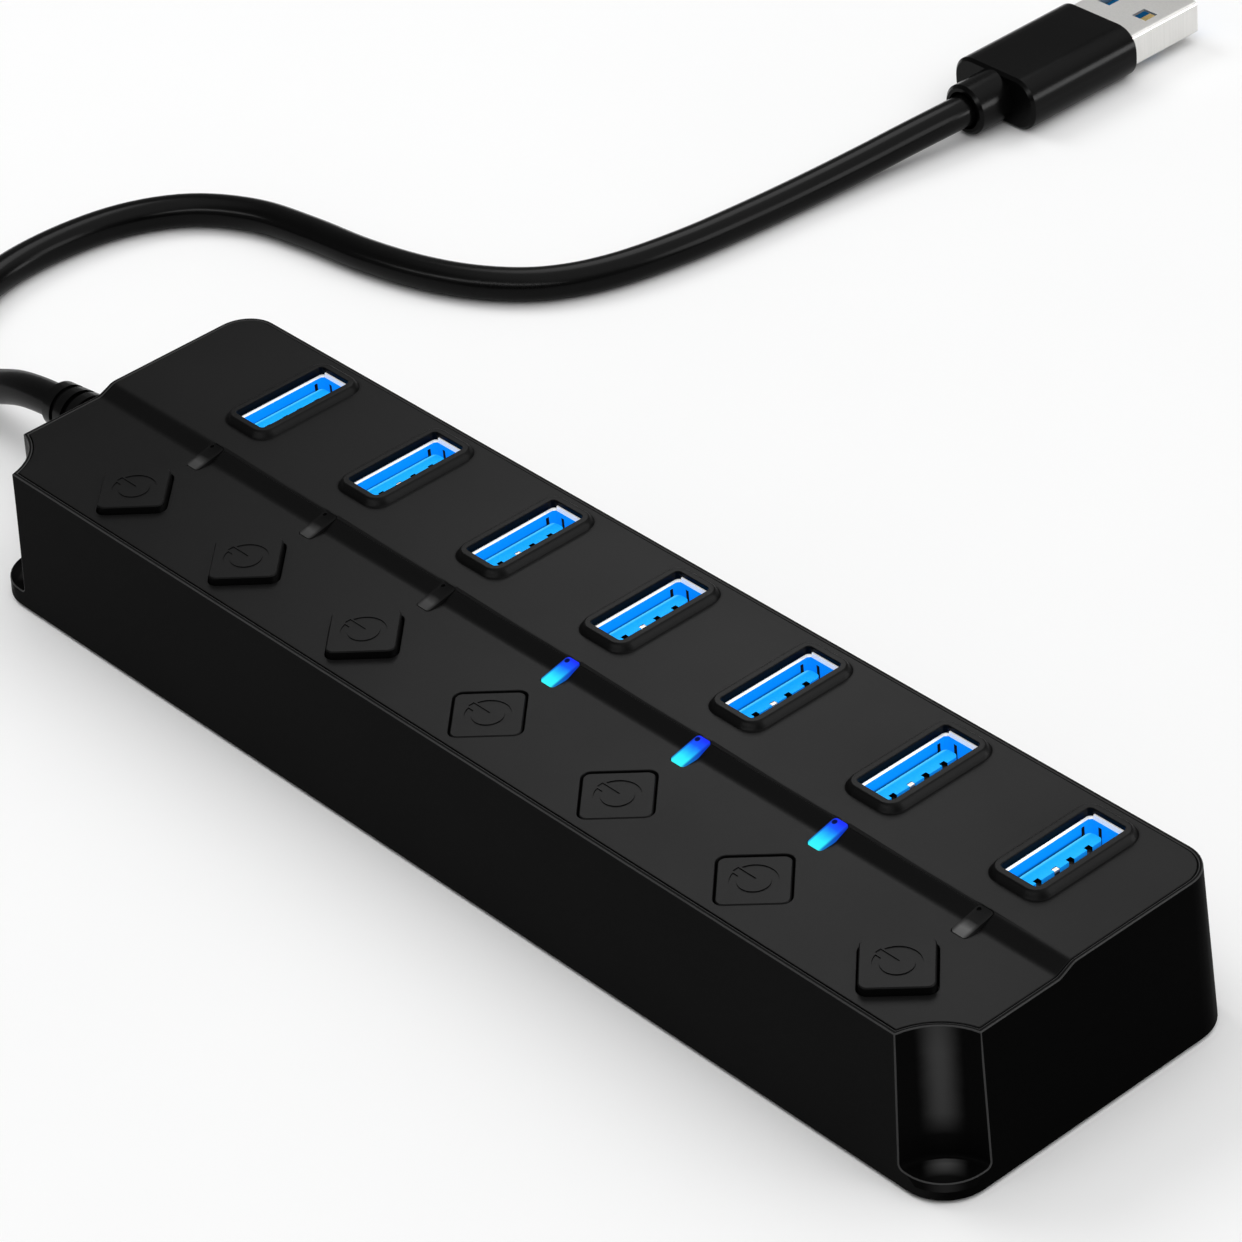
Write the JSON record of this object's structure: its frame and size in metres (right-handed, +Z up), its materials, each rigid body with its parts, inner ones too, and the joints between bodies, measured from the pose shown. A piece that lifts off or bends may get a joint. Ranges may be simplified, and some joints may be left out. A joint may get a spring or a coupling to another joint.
{
  "type": "usb hub",
  "caption": "Flat desktop USB hub: long black case, stepped dark cover, upright blue sockets in raised collars, a diamond latching button and light per port, captive cord with plug.",
  "frame": {"origin": "middle of the case's outline on the table", "axes": "+X along the hub away from the cord, +Y towards the socket side, +Z up"},
  "size_m": [0.2091, 0.1795, 0.02],
  "materials": {
    "case_plastic": "polished black ABS",
    "cover_plastic": "fine matte dark grey ABS",
    "button_plastic": "fine matte dark grey ABS",
    "board_laminate": "green solder mask",
    "socket_nickel": "bright nickel plate",
    "plug_nickel": "bright nickel plate",
    "socket_blue": "blue moulded nylon",
    "contact_gold": "gold flash",
    "switch_plastic": "black",
    "plunger_nylon": "natural nylon",
    "lamp_resin": "clear resin",
    "chip_resin": "moulded black resin",
    "can_metal": "bright",
    "screw_steel": "black oxide",
    "foot_rubber": "matte",
    "cord_jacket": "soft matte PVC",
    "wire_insulation": "red PVC",
    "pipe_dark": "smoky polycarbonate, unlit",
    "pipe_lit": "polycarbonate light pipe, lit blue"
  },
  "bodies": {
    "hub": {"case": "case_plastic", "top_cover": "cover_plastic", "circuit_board": "board_laminate", "socket_shell_1": "socket_nickel", "socket_shell_2": "socket_nickel", "socket_shell_3": "socket_nickel", "socket_shell_4": "socket_nickel", "socket_shell_5": "socket_nickel", "socket_shell_6": "socket_nickel", "socket_shell_7": "socket_nickel", "socket_insulator_1": "socket_blue", "socket_insulator_2": "socket_blue", "socket_insulator_3": "socket_blue", "socket_insulator_4": "socket_blue", "socket_insulator_5": "socket_blue", "socket_insulator_6": "socket_blue", "socket_insulator_7": "socket_blue", "socket_contacts": "contact_gold", "switch_bodies": "switch_plastic", "light_pipe_1": "pipe_dark", "light_pipe_2": "pipe_dark", "light_pipe_3": "pipe_dark", "light_pipe_4": "pipe_lit", "light_pipe_5": "pipe_lit", "light_pipe_6": "pipe_lit", "light_pipe_7": "pipe_dark", "indicator_lamps": "lamp_resin", "hub_controllers": "chip_resin", "crystals": "can_metal", "capacitors": "can_metal", "housing_screws": "screw_steel", "rubber_feet": "foot_rubber", "strain_relief": "cord_jacket", "lead_wires": "wire_insulation", "cord": "cord_jacket", "plug_grip": "cord_jacket", "plug_shell": "plug_nickel", "plug_insulator": "socket_blue", "plug_contacts": "contact_gold"},
    "key_1": {"button_1": "button_plastic", "switch_plunger_1": "plunger_nylon"},
    "key_2": {"button_2": "button_plastic", "switch_plunger_2": "plunger_nylon"},
    "key_3": {"button_3": "button_plastic", "switch_plunger_3": "plunger_nylon"},
    "key_4": {"button_4": "button_plastic", "switch_plunger_4": "plunger_nylon"},
    "key_5": {"button_5": "button_plastic", "switch_plunger_5": "plunger_nylon"},
    "key_6": {"button_6": "button_plastic", "switch_plunger_6": "plunger_nylon"},
    "key_7": {"button_7": "button_plastic", "switch_plunger_7": "plunger_nylon"}
  },
  "joints": [
    {"name": "button_1_press", "type": "slide", "parent": "hub", "child": "key_1", "axis": [0, 0, 1], "range_m": [-0.0013, 0], "stiffness_N_per_m": 800},
    {"name": "button_2_press", "type": "slide", "parent": "hub", "child": "key_2", "axis": [0, 0, 1], "range_m": [-0.0013, 0], "stiffness_N_per_m": 800},
    {"name": "button_3_press", "type": "slide", "parent": "hub", "child": "key_3", "axis": [0, 0, 1], "range_m": [-0.0013, 0], "stiffness_N_per_m": 800},
    {"name": "button_4_press", "type": "slide", "parent": "hub", "child": "key_4", "axis": [0, 0, 1], "range_m": [-0.0004, 0.0009]},
    {"name": "button_5_press", "type": "slide", "parent": "hub", "child": "key_5", "axis": [0, 0, 1], "range_m": [-0.0004, 0.0009]},
    {"name": "button_6_press", "type": "slide", "parent": "hub", "child": "key_6", "axis": [0, 0, 1], "range_m": [-0.0004, 0.0009]},
    {"name": "button_7_press", "type": "slide", "parent": "hub", "child": "key_7", "axis": [0, 0, 1], "range_m": [-0.0013, 0], "stiffness_N_per_m": 800}
  ]
}
